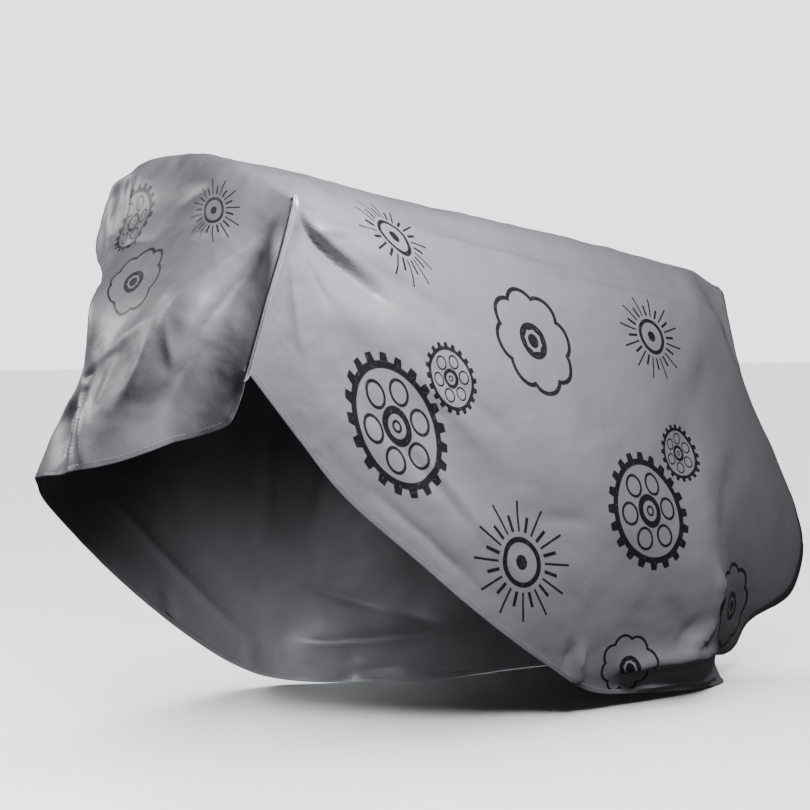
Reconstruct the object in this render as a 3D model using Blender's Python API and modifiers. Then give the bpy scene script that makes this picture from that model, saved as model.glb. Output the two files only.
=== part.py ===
"""Hollow draped cover of thin silver film, as it hangs over a wide bar and a straight top fold.

One sheet is folded over the top. Its near half hangs straight, and its far half wraps round the
front and meets the near half in a raised seam with a short slit below it.

Table coordinates: x runs rearwards, y towards the far side, z is the height above the floor.
The finished part is moved so that its origin is the mount under the top fold.
"""
from collections import namedtuple

import bmesh
import bpy
import numpy as np
from mathutils import Vector

# Driving dimensions, in metres
SHEET = 0.002            # film with its creases
PIECE_GAP = 0.0005       # between the sheet and what is fixed to it
SEAM_WIDTH = 0.010       # how far the seam's folded allowance stands out
SEAM_THICKNESS = 0.0018
SEAM_LEAN = 1.6          # over 0 leans it towards the near side
MOUNT = (0.60, 0.0, 0.990)   # on the underside of the top fold

# How finely the sheet is cut up: rows down the sides, columns front to back
COLUMNS = 36
NEAR_ROWS = 20           # near shoulder to near hem
NEAR_ROOF_ROWS = 11      # ridge to near shoulder
FAR_ROOF_ROWS = 6        # ridge to far shoulder
SLIT_ROWS = 5            # below the seam's end
FAR_ROWS = NEAR_ROWS + SLIT_ROWS
HEM_CROWDING = 1.25      # over 1 gathers the rows towards the hem
BACK_CROWDING = 1.35     # the same on the back edge
END_CROWDING = 0.40      # over 0 gathers the columns towards the front and the back
RELAX_STEPS = 6          # before the folds are raised
FOLD_RELAX_STEPS = 2     # after that
RELAX_SHARE = 0.5

# The front opening's rim: the seam, the roof's front edge and the nose that turns to the far side
PEAK = (0.101, -0.330, 0.977)
HUMP = (0.033, 0.050, 1.089)
FAR_LOBE = (-0.063, 0.200, 1.056)
ROOF_FRONT_NEAR = (HUMP, (0.048, -0.070, 1.070), (0.072, -0.200, 1.028), PEAK)
ROOF_FRONT_FAR = (HUMP, (-0.030, 0.130, 1.086), FAR_LOBE)
SEAM = (PEAK, (0.086, -0.318, 0.900), (0.062, -0.296, 0.800), (0.042, -0.268, 0.698))
SLIT_EDGE = ((0.042, -0.268, 0.698), (0.038, -0.242, 0.650), (0.030, -0.215, 0.607))
NOSE = (
    FAR_LOBE,
    (-0.078, 0.240, 0.990),
    (-0.086, 0.270, 0.930),
    (-0.098, 0.150, 0.874),
    (-0.153, 0.010, 0.795),
    (-0.163, 0.020, 0.692),
    (-0.197, 0.074, 0.604),
    (-0.234, 0.096, 0.502),
)
FRONT_HEM = (
    (0.030, -0.215, 0.607),
    (-0.007, -0.170, 0.585),
    (-0.124, -0.130, 0.547),
    (-0.185, -0.092, 0.532),
    (-0.234, 0.096, 0.502),
)

# The cloth of the front is drawn tight along a line from the peak across to the nose
TensionPoint = namedtuple("TensionPoint", "across down place")
TENSION_LINE = (
    TensionPoint(0.00, 0.00, PEAK),
    TensionPoint(0.57, 0.60, (-0.076, -0.200, 0.797)),
    TensionPoint(1.00, 0.74, (-0.164, 0.020, 0.691)),
)
TENSION_FADE = 0.35      # share of the front, beside the nose, over which its cloth slackens

# Cross-sections behind the front, from the ridge down each side to the hem
Section = namedtuple(
    "Section",
    "ridge near_shoulder near_waist_y near_low_y near_hem far_shoulder far_waist_y far_low_y far_hem",
)
SECTIONS = (
    Section((0.20, 0.01, 1.043), (0.18, -0.286, 0.963), -0.284, -0.256, (0.155, -0.222, 0.571),
            (0.10, 0.240, 0.950), 0.290, 0.290, (-0.172, 0.240, 0.414)),
    Section((0.34, 0.00, 1.027), (0.32, -0.225, 0.940), -0.266, -0.234, (0.236, -0.200, 0.479),
            (0.28, 0.205, 0.915), 0.285, 0.315, (-0.010, 0.310, 0.240)),
    Section((0.52, 0.00, 1.004), (0.50, -0.150, 0.912), -0.228, -0.222, (0.385, -0.198, 0.350),
            (0.48, 0.160, 0.895), 0.265, 0.340, (0.236, 0.370, 0.043)),
    Section((0.71, 0.00, 0.976), (0.69, -0.116, 0.880), -0.192, -0.210, (0.522, -0.190, 0.235),
            (0.68, 0.125, 0.875), 0.225, 0.295, (0.440, 0.320, 0.000)),
    Section((0.89, 0.00, 0.948), (0.88, -0.090, 0.855), -0.160, -0.190, (0.694, -0.152, 0.113),
            (0.87, 0.098, 0.855), 0.185, 0.235, (0.675, 0.243, 0.000)),
    Section((0.98, 0.00, 0.932), (0.97, -0.080, 0.840), -0.146, -0.180, (0.806, -0.126, 0.045),
            (0.96, 0.088, 0.840), 0.165, 0.215, (0.820, 0.255, 0.000)),
    Section((1.06, 0.00, 0.916), (1.06, -0.068, 0.822), -0.130, -0.170, (0.940, -0.112, 0.022),
            (1.05, 0.076, 0.822), 0.145, 0.190, (0.960, 0.245, 0.000)),
    Section((1.14, 0.00, 0.901), (1.16, -0.050, 0.800), -0.102, -0.150, (1.090, -0.092, 0.008),
            (1.15, 0.055, 0.800), 0.105, 0.140, (1.110, 0.160, 0.000)),
)
WAIST_SHARE = 0.36       # how far down the side the waist and low lines lie
LOW_SHARE = 0.72

BACK_EDGE = (
    (1.215, 0.0, 0.883),
    (1.287, 0.0, 0.648),
    (1.376, 0.0, 0.489),
    (1.451, 0.0, 0.337),
    (1.468, 0.0, 0.256),
    (1.428, 0.0, 0.162),
    (1.339, 0.0, 0.129),
    (1.292, 0.0, 0.106),
    (1.284, 0.0, 0.078),
    (1.258, -0.008, 0.058),
    (1.215, -0.024, 0.055),
    (1.176, -0.038, 0.060),
    (1.188, -0.042, 0.030),
    (1.207, -0.040, 0.000),
)

# Folds: each runs from start to end on one face of the sheet, given as the share of the way from
# front to back (or, on the front, from the seam to the nose) and from the top edge to the hem.
# A positive height stands out of the sheet as a ridge, and a negative one is a trough.
Fold = namedtuple("Fold", "name face start end width height")
FOLDS = (
    Fold("fan_trough", "near", (0.06, 0.39), (0.27, 0.51), 0.024, -0.022),
    Fold("fan_upper_trough", "near", (0.08, 0.36), (0.27, 0.35), 0.022, -0.014),
    Fold("fan_ridge", "near", (0.08, 0.38), (0.40, 0.46), 0.026, 0.014),
    Fold("band_under_ridge", "near", (0.28, 0.28), (0.97, 0.22), 0.045, -0.014),
    Fold("long_pull", "near", (0.20, 0.62), (0.66, 0.78), 0.060, -0.016),
    Fold("belly", "near", (0.55, 0.56), (0.85, 0.70), 0.090, 0.018),
    Fold("tail_hollow", "near", (0.97, 0.38), (0.86, 0.60), 0.060, -0.020),
    Fold("tail_ridge", "near", (0.922, 0.72), (0.932, 0.815), 0.024, 0.018),
    Fold("tail_ridge_turn", "near", (0.930, 0.822), (0.911, 0.893), 0.022, 0.018),
    Fold("overhang", "near", (0.83, 0.915), (0.95, 0.900), 0.026, 0.030),
    Fold("tuck_over_hem", "near", (0.83, 0.968), (0.97, 0.965), 0.020, -0.030),
    Fold("hem_kick", "near", (0.760, 0.904), (0.771, 0.995), 0.018, 0.016),
    Fold("crown_round", "front", (0.16, 0.09), (0.86, 0.11), 0.040, 0.010),
    Fold("tension_ridge", "front", (0.03, 0.04), (0.57, 0.60), 0.026, 0.008),
    Fold("tension_ridge_end", "front", (0.57, 0.60), (0.93, 0.73), 0.026, 0.008),
    Fold("seam_valley", "front", (0.08, 0.10), (0.34, 0.98), 0.052, -0.048),
    Fold("pleat_edge", "front", (0.87, 0.77), (0.60, 1.00), 0.020, 0.012),
    Fold("pleat_back", "front", (0.98, 0.78), (0.74, 1.00), 0.024, -0.020),
    Fold("lobe_pocket", "front", (0.93, 0.02), (0.86, 0.25), 0.030, -0.024),
    Fold("far_low_crease", "far", (0.49, 0.75), (0.68, 0.82), 0.024, 0.014),
    Fold("far_dark_band", "far", (0.50, 0.88), (0.72, 0.84), 0.030, -0.020),
    Fold("far_hem_roll", "far", (0.60, 0.955), (0.78, 0.965), 0.020, 0.008),
    Fold("far_lobe_fall", "far", (0.10, 0.21), (0.24, 0.70), 0.060, 0.020),
    Fold("far_front_trough", "far", (0.22, 0.23), (0.36, 0.77), 0.060, -0.020),
    Fold("far_mid_ridge", "far", (0.45, 0.24), (0.46, 0.67), 0.060, 0.018),
    Fold("far_mid_trough", "far", (0.62, 0.23), (0.58, 0.73), 0.060, -0.016),
    Fold("far_tail_ridge", "far", (0.80, 0.21), (0.84, 0.88), 0.055, 0.016),
    Fold("far_tail_trough", "far", (0.92, 0.26), (0.92, 0.79), 0.045, -0.014),
)
FOLD_STEPS = 24          # points along each fold's line
SEAM_FADE = 0.045        # folds fade out this near the seam


def smooth_through(knots, values, wanted):
    """Smooth curve through values at rising knots, read at the wanted places."""
    knots = np.asarray(knots, float)
    values = np.asarray(values, float)
    steps = np.diff(knots)
    slopes = np.diff(values, axis=0) / steps.reshape((-1,) + (1,) * (values.ndim - 1))
    tangents = np.empty_like(values)
    tangents[0] = slopes[0]
    tangents[-1] = slopes[-1]
    for k in range(1, len(knots) - 1):
        share = steps[k] / (steps[k - 1] + steps[k])
        tangents[k] = slopes[k - 1] * share + slopes[k] * (1 - share)
    place = np.clip(np.searchsorted(knots, wanted, side="right") - 1, 0, len(steps) - 1)
    shape = (-1,) + (1,) * (values.ndim - 1)
    step = steps[place].reshape(shape)
    t = ((np.asarray(wanted) - knots[place]) / steps[place]).reshape(shape)
    return (
        values[place] * (1 + 2 * t) * (1 - t) ** 2
        + tangents[place] * step * t * (1 - t) ** 2
        + values[place + 1] * t ** 2 * (3 - 2 * t)
        + tangents[place + 1] * step * t ** 2 * (t - 1)
    )


def chord_places(points):
    """Running length along a row of points."""
    points = np.asarray(points, float)
    return np.concatenate([[0.0], np.cumsum(np.linalg.norm(np.diff(points, axis=0), axis=1))])


def along(points, count, crowding=1):
    """count + 1 points on the smooth curve through the points."""
    places = chord_places(points)
    fine = smooth_through(places, points, np.linspace(0, places[-1], 400))
    run = chord_places(fine)
    wanted = run[-1] * crowded(count, crowding)
    return np.stack([np.interp(wanted, run, fine[:, axis]) for axis in range(3)], axis=1)


def crowded(count, crowding):
    """count + 1 shares from 0 to 1 that gather towards 1."""
    return 1 - (1 - np.linspace(0, 1, count + 1)) ** crowding


def column_places():
    """Each column's place along the ridge, from 0 at the front to 1 at the back."""
    even = np.linspace(0, 1, COLUMNS + 1)
    return even - END_CROWDING * np.sin(2 * np.pi * even) / (2 * np.pi)


def side_line(shoulder, waist_y, low_y, hem, rows):
    """A section's side, from its shoulder down to its hem."""
    shoulder = np.array(shoulder)
    hem = np.array(hem)
    share = crowded(rows, HEM_CROWDING)
    line = shoulder + share[:, None] * (hem - shoulder)
    line[:, 1] = smooth_through(
        (0, WAIST_SHARE, LOW_SHARE, 1), (shoulder[1], waist_y, low_y, hem[1]), share
    )
    return line


def whole_section(near_side, near_roof, far_roof, far_side):
    """One line of points from the near hem over the ridge to the far hem."""
    return np.concatenate([near_side[::-1], near_roof[::-1][1:], far_roof[1:], far_side[1:]])


def section_points(row):
    def roof(shoulder, rows):
        ridge = np.array(row.ridge)
        share = np.linspace(0, 1, rows + 1)[:, None]
        line = ridge + share * (np.array(shoulder) - ridge)
        crown = 0.22 * np.linalg.norm(np.array(shoulder) - ridge)
        line[:, 2] += crown * (share * (1 - share))[:, 0] * 2
        return line

    return whole_section(
        side_line(row.near_shoulder, row.near_waist_y, row.near_low_y, row.near_hem, NEAR_ROWS),
        roof(row.near_shoulder, NEAR_ROOF_ROWS),
        roof(row.far_shoulder, FAR_ROOF_ROWS),
        side_line(row.far_shoulder, row.far_waist_y, row.far_low_y, row.far_hem, FAR_ROWS),
    )


def front_section():
    return whole_section(
        along(SEAM, NEAR_ROWS),
        along(ROOF_FRONT_NEAR, NEAR_ROOF_ROWS),
        along(ROOF_FRONT_FAR, FAR_ROOF_ROWS),
        along(NOSE, FAR_ROWS),
    )


def back_section():
    edge = along(BACK_EDGE, NEAR_ROOF_ROWS + NEAR_ROWS, BACK_CROWDING)
    return np.concatenate([edge[::-1], edge[1:]])


def body_grid():
    """Points of the sheet behind the front: columns front to back, each near hem to far hem."""
    stations = [front_section()] + [section_points(row) for row in SECTIONS] + [back_section()]
    stations = np.array(stations)
    ridge = stations[:, NEAR_ROWS + NEAR_ROOF_ROWS]
    places = chord_places(ridge)
    return smooth_through(places, stations, places[-1] * column_places())


def front_grid(rim):
    """The front, spanned between the seam and slit, the roof's edge, the nose and the front hem."""
    top = rim[NEAR_ROWS:NEAR_ROWS + NEAR_ROOF_ROWS + FAR_ROOF_ROWS + 1]
    near = np.concatenate([rim[:NEAR_ROWS + 1][::-1], along(SLIT_EDGE, SLIT_ROWS)[1:]])
    far = rim[NEAR_ROWS + NEAR_ROOF_ROWS + FAR_ROOF_ROWS:]
    bottom = along(FRONT_HEM, len(top) - 1)
    u = np.linspace(0, 1, len(top))[:, None, None]
    v = np.linspace(0, 1, len(near))[None, :, None]
    across = (1 - u) * near[None] + u * far[None]
    down = (1 - v) * top[:, None] + v * bottom[:, None]
    corners = (
        (1 - u) * (1 - v) * top[0] + u * (1 - v) * top[-1]
        + (1 - u) * v * bottom[0] + u * v * bottom[-1]
    )
    return stretched(across + down - corners)


def stretched(front):
    """The front drawn straight from the roof's edge to the tension line, and hanging from that line."""
    columns = front.shape[0] - 1
    rows = np.linspace(0, 1, front.shape[1])
    across = [point.across for point in TENSION_LINE]
    for column in range(1, columns):
        share = column / columns
        level = np.interp(share, across, [point.down for point in TENSION_LINE])
        slack = front[column].copy()
        crest = np.array([np.interp(share, across, [point.place[axis] for point in TENSION_LINE])
                          for axis in range(3)])
        sag = np.array([np.interp(level, rows, slack[:, axis]) for axis in range(3)])
        lift = np.minimum(rows / level, (1 - rows) / (1 - level))[:, None]
        lifted = slack + lift * (crest - sag)
        straight = slack[0] + (rows / level)[:, None] * (crest - slack[0])
        tight = min(1.0, (1 - share) / TENSION_FADE) * (rows < level)[:, None]
        front[column] = lifted + tight * (straight - lifted)
    return front


def sheet_mesh(body, front):
    """The sheet's inner face as one open mesh, with the vertex at each place of both grids."""
    mesh = bmesh.new()
    last = NEAR_ROWS + NEAR_ROOF_ROWS
    verts = {}
    for i in range(COLUMNS + 1):
        for j in range(body.shape[1]):
            if i == COLUMNS and j > last:
                verts[i, j] = verts[i, 2 * last - j]
            else:
                verts[i, j] = mesh.verts.new(body[i, j])
    for i in range(COLUMNS):
        for j in range(body.shape[1] - 1):
            mesh.faces.new((verts[i, j], verts[i + 1, j], verts[i + 1, j + 1], verts[i, j + 1]))

    fronts = {}
    width = front.shape[0] - 1
    depth = front.shape[1] - 1
    for u in range(width + 1):
        for v in range(depth + 1):
            if v == 0:
                fronts[u, v] = verts[0, NEAR_ROWS + u]
            elif u == 0 and v <= NEAR_ROWS:
                fronts[u, v] = verts[0, NEAR_ROWS - v]
            elif u == width:
                fronts[u, v] = verts[0, NEAR_ROWS + width + v]
            else:
                fronts[u, v] = mesh.verts.new(front[u, v])
    for u in range(width):
        for v in range(depth):
            mesh.faces.new((fronts[u, v], fronts[u + 1, v], fronts[u + 1, v + 1], fronts[u, v + 1]))
    return mesh, verts, fronts


def relax(mesh, held, steps):
    """Even out the sheet without shrinking it: each smoothing step is followed by its reverse."""
    free = [vert for vert in mesh.verts if vert not in held and not vert.is_boundary]
    for step in range(2 * steps):
        share = RELAX_SHARE if step % 2 == 0 else -RELAX_SHARE
        moved = []
        for vert in free:
            middle = Vector((0, 0, 0))
            for edge in vert.link_edges:
                middle += edge.other_vert(vert).co
            moved.append(vert.co.lerp(middle / len(vert.link_edges), share))
        for vert, place in zip(free, moved):
            vert.co = place


def fold_line(fold, verts, fronts, width, depth):
    """Points and outward directions along a fold, on the sheet as it now lies."""
    last = NEAR_ROWS + NEAR_ROOF_ROWS
    places = column_places()
    columns = np.arange(COLUMNS + 1)
    points = []
    normals = []
    for share in np.linspace(0, 1, FOLD_STEPS):
        a = fold.start[0] + share * (fold.end[0] - fold.start[0])
        b = fold.start[1] + share * (fold.end[1] - fold.start[1])
        if fold.face == "front":
            i, j, table = a * width, b * depth, fronts
        elif fold.face == "near":
            i, j, table = np.interp(a, places, columns), last * (1 - b), verts
        else:
            i, j, table = np.interp(a, places, columns), last * (1 + b), verts
        i0 = min(int(i), (width if table is fronts else COLUMNS) - 1)
        j0 = min(int(j), (depth if table is fronts else 2 * last) - 1)
        corner = [table[i0, j0], table[i0 + 1, j0], table[i0, j0 + 1], table[i0 + 1, j0 + 1]]
        s, t = i - i0, j - j0
        weights = ((1 - s) * (1 - t), s * (1 - t), (1 - s) * t, s * t)
        points.append(sum((vert.co * w for vert, w in zip(corner, weights)), Vector()))
        normals.append(sum((vert.normal * w for vert, w in zip(corner, weights)), Vector()))
    return np.array(points), np.array(normals)


def raise_folds(mesh, verts, fronts, held, seam):
    """Push the sheet in or out along its own normals beside each fold's line."""
    mesh.normal_update()
    width = max(u for u, v in fronts)
    depth = max(v for u, v in fronts)
    places = np.array([vert.co for vert in mesh.verts])
    normals = np.array([vert.normal for vert in mesh.verts])
    still = np.array([vert in held for vert in mesh.verts])
    push = np.zeros(len(places))
    for fold in FOLDS:
        line, outward = fold_line(fold, verts, fronts, width, depth)
        gap = np.linalg.norm(places[:, None] - line[None], axis=2)
        nearest = gap.argmin(axis=1)
        same_side = np.einsum("ij,ij->i", normals, outward[nearest]) > 0.2
        run = nearest / (FOLD_STEPS - 1)
        taper = 0.25 + 0.75 * np.sin(np.pi * np.clip(run, 0, 1)) ** 0.5
        push += same_side * taper * fold.height * np.exp(-(gap.min(axis=1) / fold.width) ** 2)
    seam_points = np.array([vert.co for vert in seam])
    seam_gap = np.linalg.norm(places[:, None] - seam_points[None], axis=2).min(axis=1)
    push *= np.minimum(seam_gap / SEAM_FADE, 1)
    push[still] = 0
    moved = places + push[:, None] * normals
    moved[:, 2] = np.maximum(moved[:, 2], 0)   # the hem may lie on the floor, and no lower
    for vert, place in zip(mesh.verts, moved):
        vert.co = place


def place_in_part(mesh):
    for vert in mesh.verts:
        vert.co -= Vector(MOUNT)


def part_object(name, mesh, material, collection):
    data = bpy.data.meshes.new(name)
    mesh.to_mesh(data)
    mesh.free()
    data.materials.append(material)
    data.shade_smooth()
    item = bpy.data.objects.new(name, data)
    collection.objects.link(item)
    return item


def film_material(name, colour):
    material = bpy.data.materials.new(name)
    material.use_nodes = True
    surface = material.node_tree.nodes["Principled BSDF"]
    surface.inputs["Base Color"].default_value = colour
    surface.inputs["Roughness"].default_value = 0.45
    surface.inputs["Metallic"].default_value = 0.15
    return material


def draped_sheet():
    """The sheet's inner face, and its vertices down the front seam."""
    body = body_grid()
    mesh, verts, fronts = sheet_mesh(body, front_grid(body[0]))
    seam = [verts[0, j] for j in range(NEAR_ROWS + 1)]
    back = [verts[COLUMNS, j] for j in range(NEAR_ROWS + NEAR_ROOF_ROWS + 1)]
    nose = [verts[0, j] for j in range(body.shape[1] - FAR_ROWS, body.shape[1])]
    held = set(seam + back + nose)
    relax(mesh, held, RELAX_STEPS)
    raise_folds(mesh, verts, fronts, held, seam)
    relax(mesh, held, FOLD_RELAX_STEPS)
    bmesh.ops.triangulate(mesh, faces=mesh.faces, quad_method="SHORT_EDGE")
    mesh.normal_update()
    return mesh, seam, verts


def seam_strip(seam, verts):
    """The seam's folded allowance as one open strip, leaning from the seam over the near side."""
    strip = bmesh.new()
    edges = []
    for j, vert in reversed(list(enumerate(seam))):
        into_near = (verts[1, j].co - vert.co).normalized()
        lean = (into_near * SEAM_LEAN + vert.normal).normalized()
        root = vert.co + vert.normal * (SHEET + PIECE_GAP + SEAM_THICKNESS / 2)
        edges.append((strip.verts.new(root), strip.verts.new(root + lean * SEAM_WIDTH)))
    for first, second in zip(edges, edges[1:]):
        strip.faces.new((first[0], second[0], second[1], first[1]))
    return strip


def film_piece(name, mesh, thickness, outward, collection, material):
    """One piece of film: an open surface in table coordinates, thickened."""
    place_in_part(mesh)
    piece = part_object(name, mesh, material, collection)
    wall = piece.modifiers.new("film", "SOLIDIFY")
    wall.thickness = thickness
    wall.offset = outward
    return piece


def main():
    for item in list(bpy.data.objects):
        bpy.data.objects.remove(item, do_unlink=True)
    collection = bpy.data.collections.new("draped_cover")
    bpy.context.scene.collection.children.link(collection)
    silver = film_material("silver_film", (0.42, 0.43, 0.46, 1))
    pale = film_material("seam_film", (0.50, 0.51, 0.54, 1))
    sheet, seam, verts = draped_sheet()
    strip = seam_strip(seam, verts)
    film_piece("cover_sheet", sheet, SHEET, 1, collection, silver)
    film_piece("front_seam", strip, SEAM_THICKNESS, 0, collection, pale)


main()
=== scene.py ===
import math
from collections import namedtuple

import bmesh
import bpy
import numpy as np
from mathutils import Matrix, Vector, noise


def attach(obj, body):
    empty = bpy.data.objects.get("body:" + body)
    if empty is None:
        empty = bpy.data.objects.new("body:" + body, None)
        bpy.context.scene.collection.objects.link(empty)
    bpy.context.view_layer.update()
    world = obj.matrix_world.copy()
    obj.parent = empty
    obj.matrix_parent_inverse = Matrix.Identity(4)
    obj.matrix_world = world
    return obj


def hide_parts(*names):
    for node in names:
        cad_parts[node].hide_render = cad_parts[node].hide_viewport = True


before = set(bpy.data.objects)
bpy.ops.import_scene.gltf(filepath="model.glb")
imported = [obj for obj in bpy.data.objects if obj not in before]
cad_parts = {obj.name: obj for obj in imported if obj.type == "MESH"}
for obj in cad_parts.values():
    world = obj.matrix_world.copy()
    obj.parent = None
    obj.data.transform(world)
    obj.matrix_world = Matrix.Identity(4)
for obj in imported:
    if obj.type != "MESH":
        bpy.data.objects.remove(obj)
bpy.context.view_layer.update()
print("frame loaded:", sorted(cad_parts))

mount = Vector((0.60, 0.0, 0.990))     # the part's origin, in table coordinates


def addObject(name, data):
    item = bpy.data.objects.new(name, data)
    bpy.context.scene.collection.objects.link(item)
    return item


def newPiece(name, mesh):
    # a smooth-shaded object from a finished bmesh
    data = bpy.data.meshes.new(name)
    mesh.to_mesh(data)
    mesh.free()
    data.shade_smooth()
    return addObject(name, data)


# the sheet, on the same named lines as its solid
sheetShape = {
    "columns": 36,
    "nearRows": 20,
    "nearRoofRows": 11,
    "farRoofRows": 6,
    "slitRows": 5,
    "hemCrowding": 1.25,       # rows drawn closer together towards the hem
    "backCrowding": 1.35,
    "endCrowding": 0.40,
    "crownShare": 0.22,        # rise of the roof against its half width
    "relaxSteps": 6,
    "foldRelaxSteps": 2,
    "relaxShare": 0.5,
    "foldSteps": 24,
    "seamFade": 0.045,         # folds fade out this near the seam, in metres
    "tensionFade": 0.35,
    "thickness": 0.0011,
    "fineLevels": 2,
    "seamFirmness": 1.0,       # how hard the subdivided film folds along each line
    "backFirmness": 0.7,
    "noseFirmness": 0.4,
}
columnCount = sheetShape["columns"]
nearRows = sheetShape["nearRows"]
roofRows = sheetShape["nearRoofRows"]
farRoofRows = sheetShape["farRoofRows"]
farRows = nearRows + sheetShape["slitRows"]
ridgeRow = nearRows + roofRows

peak = (0.101, -0.330, 0.977)
hump = (0.033, 0.050, 1.089)
farLobe = (-0.063, 0.200, 1.056)
roofFrontNear = (hump, (0.048, -0.070, 1.070), (0.072, -0.200, 1.028), peak)
roofFrontFar = (hump, (-0.030, 0.130, 1.086), farLobe)
seamLine = (peak, (0.086, -0.318, 0.900), (0.062, -0.296, 0.800), (0.042, -0.268, 0.698))
slitEdge = ((0.042, -0.268, 0.698), (0.038, -0.242, 0.650), (0.030, -0.215, 0.607))
noseLine = (
    farLobe,
    (-0.078, 0.240, 0.990),
    (-0.086, 0.270, 0.930),
    (-0.098, 0.150, 0.874),
    (-0.153, 0.010, 0.795),
    (-0.163, 0.020, 0.692),
    (-0.197, 0.074, 0.604),
    (-0.234, 0.096, 0.502),
)
frontHem = (
    (0.030, -0.215, 0.607),
    (-0.007, -0.170, 0.585),
    (-0.124, -0.130, 0.547),
    (-0.185, -0.092, 0.532),
    (-0.234, 0.096, 0.502),
)
# the front is drawn tight along a line from the peak across to the nose
TensionPoint = namedtuple("TensionPoint", "across down place")
tensionLine = (
    TensionPoint(0.00, 0.00, peak),
    TensionPoint(0.57, 0.60, (-0.076, -0.200, 0.797)),
    TensionPoint(1.00, 0.74, (-0.164, 0.020, 0.691)),
)
Section = namedtuple(
    "Section",
    "ridge nearShoulder nearWaistY nearLowY nearHem farShoulder farWaistY farLowY farHem",
)
sections = (
    Section((0.20, 0.01, 1.043), (0.18, -0.286, 0.963), -0.284, -0.256, (0.155, -0.222, 0.571),
            (0.10, 0.240, 0.950), 0.290, 0.290, (-0.172, 0.240, 0.414)),
    Section((0.34, 0.00, 1.027), (0.32, -0.225, 0.940), -0.266, -0.234, (0.236, -0.200, 0.479),
            (0.28, 0.205, 0.915), 0.285, 0.315, (-0.010, 0.310, 0.240)),
    Section((0.52, 0.00, 1.004), (0.50, -0.150, 0.912), -0.228, -0.222, (0.385, -0.198, 0.350),
            (0.48, 0.160, 0.895), 0.265, 0.340, (0.236, 0.370, 0.043)),
    Section((0.71, 0.00, 0.976), (0.69, -0.116, 0.880), -0.192, -0.210, (0.522, -0.190, 0.235),
            (0.68, 0.125, 0.875), 0.225, 0.295, (0.440, 0.320, 0.000)),
    Section((0.89, 0.00, 0.948), (0.88, -0.090, 0.855), -0.160, -0.190, (0.694, -0.152, 0.113),
            (0.87, 0.098, 0.855), 0.185, 0.235, (0.675, 0.243, 0.000)),
    Section((0.98, 0.00, 0.932), (0.97, -0.080, 0.840), -0.146, -0.180, (0.806, -0.126, 0.045),
            (0.96, 0.088, 0.840), 0.165, 0.215, (0.820, 0.255, 0.000)),
    Section((1.06, 0.00, 0.916), (1.06, -0.068, 0.822), -0.130, -0.170, (0.940, -0.112, 0.022),
            (1.05, 0.076, 0.822), 0.145, 0.190, (0.960, 0.245, 0.000)),
    Section((1.14, 0.00, 0.901), (1.16, -0.050, 0.800), -0.102, -0.150, (1.090, -0.092, 0.008),
            (1.15, 0.055, 0.800), 0.105, 0.140, (1.110, 0.160, 0.000)),
)
waistShare = 0.36
lowShare = 0.72
backEdge = (
    (1.215, 0.0, 0.883),
    (1.287, 0.0, 0.648),
    (1.376, 0.0, 0.489),
    (1.451, 0.0, 0.337),
    (1.468, 0.0, 0.256),
    (1.428, 0.0, 0.162),
    (1.339, 0.0, 0.129),
    (1.292, 0.0, 0.106),
    (1.284, 0.0, 0.078),
    (1.258, -0.008, 0.058),
    (1.215, -0.024, 0.055),
    (1.176, -0.038, 0.060),
    (1.188, -0.042, 0.030),
    (1.207, -0.040, 0.000),
)

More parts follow.
